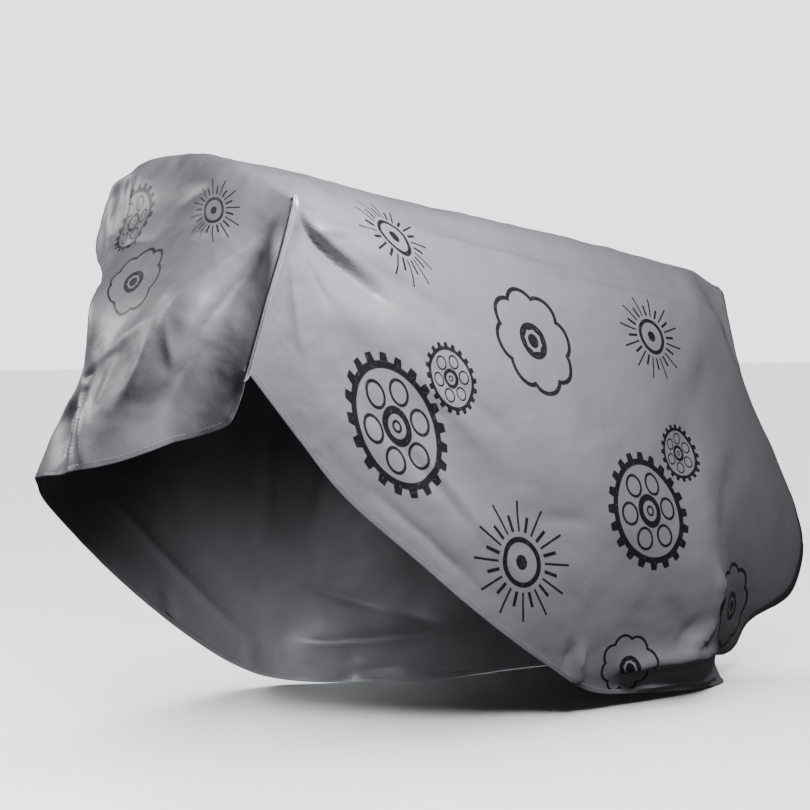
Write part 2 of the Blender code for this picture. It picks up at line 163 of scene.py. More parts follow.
# Folds run from start to end on one face, as shares of the way back and of the way down.
Fold = namedtuple("Fold", "name face start end width height")
mainFolds = (
    Fold("fanTrough", "near", (0.06, 0.39), (0.27, 0.51), 0.024, -0.022),
    Fold("fanUpperTrough", "near", (0.08, 0.36), (0.27, 0.35), 0.022, -0.014),
    Fold("fanRidge", "near", (0.08, 0.38), (0.40, 0.46), 0.026, 0.014),
    Fold("bandUnderRidge", "near", (0.28, 0.28), (0.97, 0.22), 0.045, -0.014),
    Fold("longPull", "near", (0.20, 0.62), (0.66, 0.78), 0.060, -0.016),
    Fold("belly", "near", (0.55, 0.56), (0.85, 0.70), 0.090, 0.018),
    Fold("tailHollow", "near", (0.97, 0.38), (0.86, 0.60), 0.060, -0.020),
    Fold("tailRidge", "near", (0.922, 0.72), (0.932, 0.815), 0.024, 0.018),
    Fold("tailRidgeTurn", "near", (0.930, 0.822), (0.911, 0.893), 0.022, 0.018),
    Fold("overhang", "near", (0.83, 0.915), (0.95, 0.900), 0.026, 0.030),
    Fold("tuckOverHem", "near", (0.83, 0.968), (0.97, 0.965), 0.020, -0.030),
    Fold("hemKick", "near", (0.760, 0.904), (0.771, 0.995), 0.018, 0.016),
    Fold("crownRound", "front", (0.16, 0.09), (0.86, 0.11), 0.040, 0.010),
    Fold("tensionRidge", "front", (0.03, 0.04), (0.57, 0.60), 0.026, 0.008),
    Fold("tensionRidgeEnd", "front", (0.57, 0.60), (0.93, 0.73), 0.026, 0.008),
    Fold("seamValley", "front", (0.08, 0.10), (0.34, 0.98), 0.052, -0.048),
    Fold("pleatEdge", "front", (0.87, 0.77), (0.60, 1.00), 0.020, 0.012),
    Fold("pleatBack", "front", (0.98, 0.78), (0.74, 1.00), 0.024, -0.020),
    Fold("lobePocket", "front", (0.93, 0.02), (0.86, 0.25), 0.030, -0.024),
    Fold("farLowCrease", "far", (0.49, 0.75), (0.68, 0.82), 0.024, 0.014),
    Fold("farDarkBand", "far", (0.50, 0.88), (0.72, 0.84), 0.030, -0.020),
    Fold("farHemRoll", "far", (0.60, 0.955), (0.78, 0.965), 0.020, 0.008),
    Fold("farLobeFall", "far", (0.10, 0.21), (0.24, 0.70), 0.060, 0.020),
    Fold("farFrontTrough", "far", (0.22, 0.23), (0.36, 0.77), 0.060, -0.020),
    Fold("farMidRidge", "far", (0.45, 0.24), (0.46, 0.67), 0.060, 0.018),
    Fold("farMidTrough", "far", (0.62, 0.23), (0.58, 0.73), 0.060, -0.016),
    Fold("farTailRidge", "far", (0.80, 0.21), (0.84, 0.88), 0.055, 0.016),
    Fold("farTailTrough", "far", (0.92, 0.26), (0.92, 0.79), 0.045, -0.014),
)


def smoothThrough(knots, values, wanted):
    # a smooth curve through values at rising knots, read at the wanted places
    knots = np.asarray(knots, float)
    values = np.asarray(values, float)
    steps = np.diff(knots)
    slopes = np.diff(values, axis=0) / steps.reshape((-1,) + (1,) * (values.ndim - 1))
    tangents = np.empty_like(values)
    tangents[0] = slopes[0]
    tangents[-1] = slopes[-1]
    for k in range(1, len(knots) - 1):
        share = steps[k] / (steps[k - 1] + steps[k])
        tangents[k] = slopes[k - 1] * share + slopes[k] * (1 - share)
    place = np.clip(np.searchsorted(knots, wanted, side="right") - 1, 0, len(steps) - 1)
    shape = (-1,) + (1,) * (values.ndim - 1)
    step = steps[place].reshape(shape)
    t = ((np.asarray(wanted) - knots[place]) / steps[place]).reshape(shape)
    return (
        values[place] * (1 + 2 * t) * (1 - t) ** 2
        + tangents[place] * step * t * (1 - t) ** 2
        + values[place + 1] * t ** 2 * (3 - 2 * t)
        + tangents[place + 1] * step * t ** 2 * (t - 1)
    )


def runLengths(points):
    points = np.asarray(points, float)
    return np.concatenate([[0.0], np.cumsum(np.linalg.norm(np.diff(points, axis=0), axis=1))])


def readAlong(wanted, places, points):
    # the point at one wanted place on a line of points
    return np.array([np.interp(wanted, places, points[:, axis]) for axis in range(3)])


def crowded(count, crowding):
    return 1 - (1 - np.linspace(0, 1, count + 1)) ** crowding


def along(points, count, crowding=1):
    # count + 1 points on the smooth curve through the points
    places = runLengths(points)
    fine = smoothThrough(places, points, np.linspace(0, places[-1], 400))
    run = runLengths(fine)
    wanted = run[-1] * crowded(count, crowding)
    return np.stack([np.interp(wanted, run, fine[:, axis]) for axis in range(3)], axis=1)


def columnPlaces():
    even = np.linspace(0, 1, columnCount + 1)
    return even - sheetShape["endCrowding"] * np.sin(2 * np.pi * even) / (2 * np.pi)


def sideLine(shoulder, waistY, lowY, hem, rows):
    shoulder = np.array(shoulder)
    hem = np.array(hem)
    share = crowded(rows, sheetShape["hemCrowding"])
    line = shoulder + share[:, None] * (hem - shoulder)
    depths = (shoulder[1], waistY, lowY, hem[1])
    line[:, 1] = smoothThrough((0, waistShare, lowShare, 1), depths, share)
    return line


def roofLine(ridge, shoulder, rows):
    ridge = np.array(ridge)
    share = np.linspace(0, 1, rows + 1)[:, None]
    line = ridge + share * (np.array(shoulder) - ridge)
    crown = sheetShape["crownShare"] * np.linalg.norm(np.array(shoulder) - ridge)
    line[:, 2] += crown * (share * (1 - share))[:, 0] * 2
    return line


def wholeSection(nearSide, nearRoof, farRoof, farSide):
    return np.concatenate([nearSide[::-1], nearRoof[::-1][1:], farRoof[1:], farSide[1:]])


def bodyGrid():
    # the sheet behind the front: columns front to back, each from near hem to far hem
    stations = [wholeSection(along(seamLine, nearRows), along(roofFrontNear, roofRows),
                             along(roofFrontFar, farRoofRows), along(noseLine, farRows))]
    for row in sections:
        stations.append(wholeSection(
            sideLine(row.nearShoulder, row.nearWaistY, row.nearLowY, row.nearHem, nearRows),
            roofLine(row.ridge, row.nearShoulder, roofRows),
            roofLine(row.ridge, row.farShoulder, farRoofRows),
            sideLine(row.farShoulder, row.farWaistY, row.farLowY, row.farHem, farRows),
        ))
    edge = along(backEdge, roofRows + nearRows, sheetShape["backCrowding"])
    stations.append(np.concatenate([edge[::-1], edge[1:]]))
    stations = np.array(stations)
    places = runLengths(stations[:, ridgeRow])
    return smoothThrough(places, stations, places[-1] * columnPlaces())


def frontGrid(rim):
    # the front, spanned between the seam and slit, the roof's edge, the nose and the front hem
    top = rim[nearRows:nearRows + roofRows + farRoofRows + 1]
    near = np.concatenate([rim[:nearRows + 1][::-1], along(slitEdge, sheetShape["slitRows"])[1:]])
    far = rim[nearRows + roofRows + farRoofRows:]
    bottom = along(frontHem, len(top) - 1)
    u = np.linspace(0, 1, len(top))[:, None, None]
    v = np.linspace(0, 1, len(near))[None, :, None]
    corners = (
        (1 - u) * (1 - v) * top[0] + u * (1 - v) * top[-1]
        + (1 - u) * v * bottom[0] + u * v * bottom[-1]
    )
    between = (1 - u) * near[None] + u * far[None] + (1 - v) * top[:, None] + v * bottom[:, None]
    return stretched(between - corners)


def stretched(front):
    # straight from the roof's edge to the tension line, and hanging from that line below it
    columns = front.shape[0] - 1
    rows = np.linspace(0, 1, front.shape[1])
    across = [point.across for point in tensionLine]
    for column in range(1, columns):
        share = column / columns
        level = np.interp(share, across, [point.down for point in tensionLine])
        slack = front[column].copy()
        crest = readAlong(share, across, np.array([point.place for point in tensionLine]))
        sag = readAlong(level, rows, slack)
        lift = np.minimum(rows / level, (1 - rows) / (1 - level))[:, None]
        lifted = slack + lift * (crest - sag)
        straight = slack[0] + (rows / level)[:, None] * (crest - slack[0])
        tight = min(1.0, (1 - share) / sheetShape["tensionFade"]) * (rows < level)[:, None]
        front[column] = lifted + tight * (straight - lifted)
    return front


def flatPlaces(body, front):
    # flat-cloth places in metres: near half below zero, far half above, the front from frontChart on
    step = np.zeros(body.shape[:2])
    step[:, 1:] = np.linalg.norm(np.diff(body[:, :, 1:], axis=1), axis=2)
    down = np.cumsum(step, axis=1)
    down -= down[:, ridgeRow:ridgeRow + 1]
    bodyFlat = np.stack([body[:, :, 0], down], axis=2)
    across = np.zeros(front.shape[:2])
    across[1:] = np.cumsum(np.linalg.norm(np.diff(front[:, :, :2], axis=0), axis=2), axis=0)
    drop = np.zeros(front.shape[:2])
    drop[:, 1:] = np.cumsum(np.linalg.norm(np.diff(front, axis=1), axis=2), axis=1)
    frontFlat = np.stack([frontChart - across, -drop], axis=2)
    return bodyFlat, frontFlat


frontChart = -2.0      # where the front's part of the flat chart starts


def coarseSheet():
    body = bodyGrid()
    front = frontGrid(body[0])
    bodyFlat, frontFlat = flatPlaces(body, front)
    mesh = bmesh.new()
    flat = mesh.loops.layers.uv.new("flatCloth")
    verts = {}
    for i in range(columnCount + 1):
        for j in range(body.shape[1]):
            if i == columnCount and j > ridgeRow:
                verts[i, j] = verts[i, 2 * ridgeRow - j]
            else:
                verts[i, j] = mesh.verts.new(body[i, j])
    for i in range(columnCount):
        for j in range(body.shape[1] - 1):
            corners = ((i, j), (i + 1, j), (i + 1, j + 1), (i, j + 1))
            face = mesh.faces.new([verts[c] for c in corners])
            for loop, c in zip(face.loops, corners):
                loop[flat].uv = bodyFlat[c]
    fronts = {}
    width = front.shape[0] - 1
    depth = front.shape[1] - 1
    for u in range(width + 1):
        for v in range(depth + 1):
            if v == 0:
                fronts[u, v] = verts[0, nearRows + u]
            elif u == 0 and v <= nearRows:
                fronts[u, v] = verts[0, nearRows - v]
            elif u == width:
                fronts[u, v] = verts[0, nearRows + width + v]
            else:
                fronts[u, v] = mesh.verts.new(front[u, v])
    for u in range(width):
        for v in range(depth):
            corners = ((u, v), (u + 1, v), (u + 1, v + 1), (u, v + 1))
            face = mesh.faces.new([fronts[c] for c in corners])
            for loop, c in zip(face.loops, corners):
                loop[flat].uv = frontFlat[c]
    return mesh, verts, fronts


def relax(mesh, held, steps):
    free = [vert for vert in mesh.verts if vert not in held and not vert.is_boundary]
    for step in range(2 * steps):
        share = sheetShape["relaxShare"] if step % 2 == 0 else -sheetShape["relaxShare"]
        moved = []
        for vert in free:
            middle = Vector((0, 0, 0))
            for edge in vert.link_edges:
                middle += edge.other_vert(vert).co
            moved.append(vert.co.lerp(middle / len(vert.link_edges), share))
        for vert, place in zip(free, moved):
            vert.co = place


def foldLine(fold, grids, points, normals):
    # points and outward directions along a fold, read off the coarse sheet
    width = max(u for u, v in grids["front"])
    depth = max(v for u, v in grids["front"])
    places = columnPlaces()
    line = []
    outward = []
    for share in np.linspace(0, 1, sheetShape["foldSteps"]):
        a = fold.start[0] + share * (fold.end[0] - fold.start[0])
        b = fold.start[1] + share * (fold.end[1] - fold.start[1])
        if fold.face == "front":
            i, j, iMax, jMax, table = a * width, b * depth, width, depth, grids["front"]
        else:
            side = -1 if fold.face == "near" else 1
            i = np.interp(a, places, np.arange(columnCount + 1))
            j, iMax, jMax, table = ridgeRow * (1 + side * b), columnCount, 2 * ridgeRow, grids["body"]
        i0 = min(int(i), iMax - 1)
        j0 = min(int(j), jMax - 1)
        s, t = i - i0, j - j0
        place = np.zeros(3)
        normal = np.zeros(3)
        shares = ((0, 0, (1 - s) * (1 - t)), (1, 0, s * (1 - t)), (0, 1, (1 - s) * t), (1, 1, s * t))
        for di, dj, weight in shares:
            index = table[i0 + di, j0 + dj]
            place += weight * points[index]
            normal += weight * normals[index]
        line.append(place)
        outward.append(normal)
    return np.array(line), np.array(outward)


foldProfile = {
    "reach": 3,                # widths within which a soft fold is felt
    "sharpReach": 5,
    "endDepth": 0.25,          # share of its depth that a soft fold keeps at its ends
    "endRound": 0.5,
    "sharpEndRound": 0.7,
    "sharpEnd": 0.02,
    "blunt": 0.06,             # rounds a crease's crest
    "fall": 1.6,
    "lift": 0.39,
    "sameSide": 0.2,           # least agreement of directions, so that a fold doesn't reach through
}


def foldPush(folds, grids, coarse, coarseNormals, points, normals, sharp):
    # how far each point of a mesh is pushed out by the folds near it
    push = np.zeros(len(points))
    for fold in folds:
        line, outward = foldLine(fold, grids, coarse, coarseNormals)
        reach = foldProfile["sharpReach" if sharp else "reach"] * fold.width
        low = line.min(0) - reach
        high = line.max(0) + reach
        near = np.flatnonzero(((points > low) & (points < high)).all(1))
        if not len(near):
            continue
        gap = np.linalg.norm(points[near][:, None] - line[None], axis=2)
        nearest = gap.argmin(axis=1)
        sameSide = np.einsum("ij,ij->i", normals[near], outward[nearest]) > foldProfile["sameSide"]
        run = nearest / (sheetShape["foldSteps"] - 1)
        if sharp:
            # distance to the line itself rather than to its sampled points
            after = np.clip(nearest + 1, 0, len(line) - 1)
            before = np.clip(nearest - 1, 0, len(line) - 1)
            tangent = line[after] - line[before]
            tangent /= np.linalg.norm(tangent, axis=1)[:, None]
            offset = points[near] - line[nearest]
            lengthwise = np.einsum("ij,ij->i", offset, tangent)
            inside = (nearest > 0) & (nearest < len(line) - 1)
            offset = offset - tangent * np.where(inside, lengthwise, 0)[:, None]
            distance = np.linalg.norm(offset, axis=1)
            end = foldProfile["sharpEnd"]
            taper = np.sin(np.pi * np.clip(run, end, 1 - end)) ** foldProfile["sharpEndRound"]
            away = np.sqrt((distance / fold.width) ** 2 + foldProfile["blunt"])
            shape = np.exp(-away * foldProfile["fall"] + foldProfile["lift"])
        else:
            end = foldProfile["endDepth"]
            taper = end + (1 - end) * np.sin(np.pi * np.clip(run, 0, 1)) ** foldProfile["endRound"]
            shape = np.exp(-(gap.min(axis=1) / fold.width) ** 2)
        push[near] += sameSide * taper * fold.height * shape
    return push


def drapedSheet():
    # the same steps as the solid takes, so that the film lies on the solid's own folds
    mesh, verts, fronts = coarseSheet()
    seam = [verts[0, j] for j in range(nearRows + 1)]
    back = [verts[columnCount, j] for j in range(ridgeRow + 1)]
    nose = [verts[0, j] for j in range(ridgeRow + farRoofRows, 2 * ridgeRow + 1)]
    held = set(seam + back + nose)
    relax(mesh, held, sheetShape["relaxSteps"])
    mesh.normal_update()
    mesh.verts.index_update()
    grids = {
        "body": {key: vert.index for key, vert in verts.items()},
        "front": {key: vert.index for key, vert in fronts.items()},
    }
    points = np.array([vert.co for vert in mesh.verts])
    normals = np.array([vert.normal for vert in mesh.verts])
    push = foldPush(mainFolds, grids, points, normals, points, normals, False)
    seamPoints = np.array([vert.co for vert in seam])
    seamGap = np.linalg.norm(points[:, None] - seamPoints[None], axis=2).min(axis=1)
    push *= np.minimum(seamGap / sheetShape["seamFade"], 1)
    push[[vert.index for vert in held]] = 0
    moved = points + push[:, None] * normals
    moved[:, 2] = np.maximum(moved[:, 2], 0)
    for vert, place in zip(mesh.verts, moved):
        vert.co = place
    relax(mesh, held, sheetShape["foldRelaxSteps"])
    mesh.normal_update()
    return mesh, seam, verts, grids


sheetMesh, seamVerts, bodyVerts, grids = drapedSheet()
print("coarse sheet:", len(sheetMesh.verts), "points")

# Finer creases on the subdivided film, placed from the way the cloth pulls.
creases = (
    Fold("fanLine", "near", (0.045, 0.392), (0.275, 0.505), 0.0101, -0.0140),
    Fold("fanLineLip", "near", (0.050, 0.375), (0.260, 0.468), 0.0116, 0.0100),
    Fold("fanUpper", "near", (0.050, 0.372), (0.250, 0.350), 0.0101, -0.0085),
    Fold("fanLow", "near", (0.030, 0.430), (0.180, 0.580), 0.0116, -0.0066),
    Fold("fanLowest", "near", (0.020, 0.500), (0.110, 0.740), 0.013, 0.0057),
    Fold("fanCross", "near", (0.120, 0.410), (0.200, 0.380), 0.01, 0.0047),
    Fold("fanReach", "near", (0.200, 0.440), (0.480, 0.500), 0.0174, -0.0057),
    Fold("topBandLine", "near", (0.300, 0.315), (0.640, 0.300), 0.0174, 0.0057),
    Fold("topBandDip", "near", (0.560, 0.330), (0.930, 0.310), 0.0203, -0.0061),
    Fold("middlePull", "near", (0.300, 0.560), (0.560, 0.640), 0.0203, -0.0057),
    Fold("middlePullLip", "near", (0.320, 0.600), (0.520, 0.680), 0.0174, 0.0047),
    Fold("lowPull", "near", (0.240, 0.720), (0.520, 0.830), 0.0174, -0.0061),
    Fold("lowPullLip", "near", (0.360, 0.740), (0.640, 0.860), 0.0174, 0.0053),
    Fold("hemPull", "near", (0.300, 0.900), (0.560, 0.930), 0.0145, -0.0049),
    Fold("bellyDimple", "near", (0.560, 0.520), (0.640, 0.600), 0.0232, -0.0049),
    Fold("bellyDimpleTwo", "near", (0.680, 0.600), (0.760, 0.560), 0.0203, 0.0046),
    Fold("bellyDimpleThree", "near", (0.620, 0.740), (0.720, 0.700), 0.0203, -0.0053),
    Fold("tailCorner", "near", (0.975, 0.140), (0.930, 0.360), 0.013, 0.0066),
    Fold("tailFall", "near", (0.965, 0.420), (0.930, 0.690), 0.0174, -0.0068),
    Fold("tailUpright", "near", (0.922, 0.730), (0.932, 0.812), 0.01, 0.0200),
    Fold("tailDiagonal", "near", (0.930, 0.820), (0.900, 0.886), 0.01, 0.0170),
    Fold("tailDiagonalDip", "near", (0.910, 0.815), (0.882, 0.880), 0.0116, -0.0090),
    Fold("tailPouch", "near", (0.860, 0.780), (0.900, 0.860), 0.0174, -0.0068),
    Fold("kickLine", "near", (0.758, 0.895), (0.771, 0.998), 0.010, 0.0200),
    Fold("kickDip", "near", (0.742, 0.900), (0.752, 0.990), 0.0101, -0.0140),
    Fold("overhangLip", "near", (0.825, 0.922), (0.865, 0.896), 0.011, 0.0140),
    Fold("overhangLipBack", "near", (0.860, 0.896), (0.955, 0.880), 0.011, 0.0160),
    Fold("overhangTuck", "near", (0.835, 0.940), (0.965, 0.902), 0.010, -0.0300),
    Fold("skirtFlare", "near", (0.850, 0.985), (0.985, 0.955), 0.015, 0.0260),
    Fold("skirtFlute", "near", (0.870, 0.955), (0.878, 0.998), 0.01, 0.0068),
    Fold("skirtFluteTwo", "near", (0.905, 0.950), (0.918, 0.998), 0.01, -0.0068),
    Fold("tensionCrest", "front", (0.030, 0.040), (0.562, 0.595), 0.0116, 0.0060),
    Fold("tensionCrestEnd", "front", (0.562, 0.595), (0.934, 0.728), 0.0120, 0.0030),
    Fold("frontShortCrease", "front", (0.562, 0.595), (0.420, 0.735), 0.0100, 0.0045),
    Fold("frontFill", "front", (0.600, 0.640), (0.580, 0.820), 0.0260, 0.0100),
    Fold("frontFillEnd", "front", (0.780, 0.700), (0.700, 0.840), 0.0240, 0.0070),
    Fold("valleyLine", "front", (0.120, 0.240), (0.255, 0.670), 0.0145, -0.008),
    Fold("valleyFoot", "front", (0.255, 0.670), (0.317, 0.900), 0.0145, -0.0076),
    Fold("lobeLine", "front", (0.900, 0.030), (0.865, 0.223), 0.01, -0.0095),
    Fold("lobeLineTwo", "front", (0.830, 0.040), (0.850, 0.300), 0.0101, 0.0068),
    Fold("lobeLineThree", "front", (0.960, 0.060), (0.930, 0.300), 0.01, 0.0076),
    Fold("lobeCross", "front", (0.700, 0.330), (0.900, 0.280), 0.0145, -0.0061),
    Fold("crownDimple", "front", (0.400, 0.120), (0.620, 0.220), 0.0203, -0.0057),
    Fold("crownDimpleTwo", "front", (0.300, 0.250), (0.500, 0.300), 0.0174, 0.0053),
    Fold("pleatFold", "front", (0.865, 0.781), (0.568, 0.994), 0.01, 0.0114),
    Fold("pleatFoldBack", "front", (0.981, 0.743), (0.668, 0.992), 0.01, 0.0114),
    Fold("pleatShade", "front", (0.920, 0.770), (0.740, 0.890), 0.01, -0.0114),
    Fold("pinch", "front", (0.890, 0.735), (0.960, 0.745), 0.01, -0.0095),
    Fold("behindPleat", "front", (0.975, 0.800), (0.790, 0.985), 0.016, -0.0090),
    Fold("farCrease", "far", (0.490, 0.751), (0.626, 0.795), 0.01, 0.0114),
    Fold("farCreaseEnd", "far", (0.626, 0.795), (0.690, 0.822), 0.01, 0.0095),
    Fold("farBandLine", "far", (0.496, 0.876), (0.712, 0.843), 0.0130, -0.0170),
    Fold("farFootCrease", "far", (0.577, 0.868), (0.590, 0.930), 0.01, 0.0085),
    Fold("farHemFold", "far", (0.579, 0.997), (0.593, 0.961), 0.01, 0.0076),
    Fold("farHemLine", "far", (0.593, 0.961), (0.656, 0.940), 0.01, 0.0068),
    Fold("farHemLineEnd", "far", (0.656, 0.940), (0.766, 0.979), 0.01, 0.0068),
    Fold("farFallLine", "far", (0.120, 0.260), (0.230, 0.680), 0.0145, 0.0095),
    Fold("farFallLineTwo", "far", (0.300, 0.250), (0.400, 0.720), 0.0145, -0.0085),
    Fold("farMidLine", "far", (0.450, 0.260), (0.455, 0.660), 0.0145, 0.0085),
    Fold("farPull", "far", (0.560, 0.300), (0.700, 0.520), 0.0145, -0.0076),
    Fold("farTailLine", "far", (0.800, 0.240), (0.838, 0.860), 0.013, 0.0085),
    Fold("farTailLineTwo", "far", (0.930, 0.300), (0.905, 0.800), 0.013, -0.0076),
    Fold("farLowPull", "far", (0.200, 0.800), (0.420, 0.900), 0.0145, -0.0076),
    Fold("farHemFlute", "far", (0.300, 0.900), (0.320, 0.995), 0.0116, 0.0076),
    Fold("farHemFluteTwo", "far", (0.420, 0.900), (0.430, 0.995), 0.0116, -0.0076),
)

filmLook = {
    "crumpleSize": 0.085,      # metres across the soft random dents
    "crumpleDepth": 0.0026,
    "smallCrumple": 2.3,       # how much finer the second dents are
    "smallShare": 0.5,
    "puckerSize": 0.030,
    "puckerDepth": 0.0007,
    "seamClear": 0.006,        # no dents or creases this near the seam
    "seamFade": 0.035,
}
lowest = 0.0002                # metres above the floor for the film's lowest points


def subdividedFilm(mesh):
    # the coarse sheet made smooth and fine, with firm folds at the seam, the back and the nose
    data = bpy.data.meshes.new("coarseFilm")
    crease = mesh.edges.layers.float.new("crease_edge")
    backVerts = [bodyVerts[columnCount, j] for j in range(ridgeRow + 1)]
    noseVerts = [bodyVerts[0, j] for j in range(ridgeRow + farRoofRows, 2 * ridgeRow + 1)]
    firm = ((seamVerts, "seamFirmness"), (backVerts, "backFirmness"), (noseVerts, "noseFirmness"))
    for line, firmness in firm:
        for edge in mesh.edges:
            if edge.verts[0] in line and edge.verts[1] in line:
                edge[crease] = sheetShape[firmness]
    mesh.to_mesh(data)
    holder = addObject("coarseFilm", data)
    finer = holder.modifiers.new("finer", "SUBSURF")
    finer.levels = sheetShape["fineLevels"]
    finer.render_levels = sheetShape["fineLevels"]
    finer.uv_smooth = "PRESERVE_BOUNDARIES"
    view = bpy.context.evaluated_depsgraph_get()
    fine = bpy.data.meshes.new_from_object(holder.evaluated_get(view))
    bpy.data.objects.remove(holder)
    return fine


coarsePoints = np.array([vert.co for vert in sheetMesh.verts])
coarseNormals = np.array([vert.normal for vert in sheetMesh.verts])
seamIndices = [vert.index for vert in seamVerts]
fineData = subdividedFilm(sheetMesh)


def meshArrays(data):
    points = np.empty(len(data.vertices) * 3)
    data.vertices.foreach_get("co", points)
    normals = np.empty(len(data.vertices) * 3)
    data.vertices.foreach_get("normal", normals)
    return points.reshape(-1, 3), normals.reshape(-1, 3)


def creaseFilm(data):
    points, normals = meshArrays(data)
    push = foldPush(creases, grids, coarsePoints, coarseNormals, points, normals, True)
    for k, place in enumerate(points):
        spot = Vector(place)
        dent = noise.noise(spot / filmLook["crumpleSize"])
        small = spot / filmLook["crumpleSize"] * filmLook["smallCrumple"] + Vector((7, 3, 1))
        dent += filmLook["smallShare"] * noise.noise(small)
        pucker = 1 - abs(2 * noise.noise(spot / filmLook["puckerSize"] + Vector((2, 9, 4))))
        push[k] += filmLook["crumpleDepth"] * dent + filmLook["puckerDepth"] * (pucker - 0.5)
    seamPoints = coarsePoints[seamIndices]
    gap = np.linalg.norm(points[:, None] - seamPoints[None], axis=2).min(axis=1)
    push *= np.clip((gap - filmLook["seamClear"]) / filmLook["seamFade"], 0, 1)
    moved = points + push[:, None] * normals
    moved[:, 2] = np.maximum(moved[:, 2], lowest)
    data.vertices.foreach_set("co", moved.ravel())
    data.update()


creaseFilm(fineData)
print("fine film:", len(fineData.vertices), "points,", len(fineData.polygons), "faces")

film = addObject("coverFilm", fineData)


# turned hem all round the open edge
hemShape = {
    "width": 0.010,
    "proud": 0.0003,           # how far the turned hem stands out from the film
    "proudAtEdge": 1.2,
    "edgeRound": 0.0015,
    "innerRound": 0.0008,
    "overEdge": 0.0005,
    "lap": 0.0002,             # the turned cloth's start beyond the film's edge and faces
    "rim": 0.0001,             # the hem's inner edge above the film's faces
    "stitchInset": 0.0078,
    "stitchPitch": 0.0058,
    "stitchLength": 0.0040,
    "threadRadius": 0.00042,
    "threadLift": 0.000315,    # the thread's middle above the film's faces
    "threadSides": 5,
}


def openEdgeLoop(data):
    # the film's open edge as one ordered ring, with the direction into the cloth at each point
    mesh = bmesh.new()
    mesh.from_mesh(data)
    mesh.verts.ensure_lookup_table()
    mesh.normal_update()
    start = next(vert for vert in mesh.verts if vert.is_boundary)
    ring = [start]
    before = None
    current = start
    while True:
        following = [
            edge.other_vert(current) for edge in current.link_edges
            if edge.is_boundary and edge.other_vert(current) is not before
        ]
        before, current = current, following[0]
        if current is start:
            break
        ring.append(current)
    points = np.array([vert.co for vert in ring])
    normals = np.array([vert.normal for vert in ring])
    inward = []
    for k, vert in enumerate(ring):
        tangent = Vector(points[(k + 1) % len(ring)] - points[k - 1]).normalized()
        pull = Vector((0, 0, 0))
        for edge in vert.link_edges:
            other = edge.other_vert(vert)
            if not other.is_boundary:
                pull += (other.co - vert.co).normalized()
        if pull.length < 1e-6:
            pull = vert.normal.cross(tangent)
        pull -= tangent * pull.dot(tangent)
        pull -= vert.normal * pull.dot(vert.normal)
        inward.append(pull.normalized())
    mesh.free()
    return points, normals, np.array([list(v) for v in inward])


def smoothRing(values, rounds):
    for _ in range(rounds):
        values = 0.5 * values + 0.25 * (np.roll(values, 1, axis=0) + np.roll(values, -1, axis=0))
    return values / np.linalg.norm(values, axis=1)[:, None]


def tubeFromSections(name, rings, closed):
    # one closed body through a row of cross-sections
    mesh = bmesh.new()
    rows = [[mesh.verts.new(place) for place in ring] for ring in rings]
    pairs = list(zip(rows, rows[1:]))
    if closed:
        pairs.append((rows[-1], rows[0]))
    for first, second in pairs:
        for k in range(len(first)):
            after = (k + 1) % len(first)
            mesh.faces.new((first[k], first[after], second[after], second[k]))
    if not closed:
        mesh.faces.new(rows[0][::-1])
        mesh.faces.new(rows[-1])
    bmesh.ops.recalc_face_normals(mesh, faces=mesh.faces)
    return newPiece(name, mesh)


edgePoints, edgeNormals, edgeInward = openEdgeLoop(fineData)
edgeInward = smoothRing(edgeInward, 2)
edgeNormals = smoothRing(edgeNormals, 1)


def makeHem():
    # the profile's points are metres in from the edge, and out from the film's inner face
    width = hemShape["width"]
    proud = hemShape["proud"]
    edgeProud = proud * hemShape["proudAtEdge"]
    outer = sheetShape["thickness"]
    inner = width - hemShape["innerRound"]
    near = hemShape["edgeRound"]
    lap = hemShape["lap"]
    rim = hemShape["rim"]
    profile = (
        (width, outer + rim), (inner, outer + proud), (near, outer + edgeProud),
        (-lap, outer + lap), (-hemShape["overEdge"], outer / 2), (-lap, -lap),
        (near, -edgeProud), (inner, -proud), (width, -rim),
    )
    rings = []
    for place, normal, inward in zip(edgePoints, edgeNormals, edgeInward):
        rings.append([place + inward * d + normal * n for d, n in profile])
    rings = np.array(rings)
    rings[:, :, 2] = np.maximum(rings[:, :, 2], lowest)
    return tubeFromSections("hemFold", rings, True)


# each ring of a stitch: share of its length, share of its radius
stitchTaper = ((0.0, 0.25), (0.18, 0.9), (0.82, 0.9), (1.0, 0.25))


def threadRow(name, points, normals, inward, inset, lifts, closed):
    # a row of short stitches that lie along an edge, on one or both faces
    pitch = hemShape["stitchPitch"]
    half = hemShape["stitchLength"] / 2
    radius = hemShape["threadRadius"]
    sides = hemShape["threadSides"]
    line = points + inward * inset
    if closed:
        line = np.concatenate([line, line[:1]])
        normals = np.concatenate([normals, normals[:1]])
    run = runLengths(line)
    turns = [2 * math.pi * k / sides for k in range(sides)]
    mesh = bmesh.new()
    for middle in np.arange(pitch, run[-1] - pitch, pitch):
        ends = [readAlong(middle + s, run, line) for s in (-half, half)]
        normal = readAlong(middle, run, normals)
        normal /= np.linalg.norm(normal)
        forward = ends[1] - ends[0]
        length = np.linalg.norm(forward)
        if length < half:
            continue
        forward /= length
        side = np.cross(normal, forward)
        for lift in lifts:
            rows = []
            for share, size in stitchTaper:
                centre = ends[0] + forward * length * share + normal * lift
                spoke = radius * size
                rows.append([
                    mesh.verts.new(centre + spoke * (math.cos(turn) * side + math.sin(turn) * normal))
                    for turn in turns
                ])
            for first, second in zip(rows, rows[1:]):
                for k in range(sides):
                    after = (k + 1) % sides
                    mesh.faces.new((first[k], second[k], second[after], first[after]))
            mesh.faces.new(rows[0])
            mesh.faces.new(rows[-1][::-1])
    bmesh.ops.recalc_face_normals(mesh, faces=mesh.faces)
    return newPiece(name, mesh)


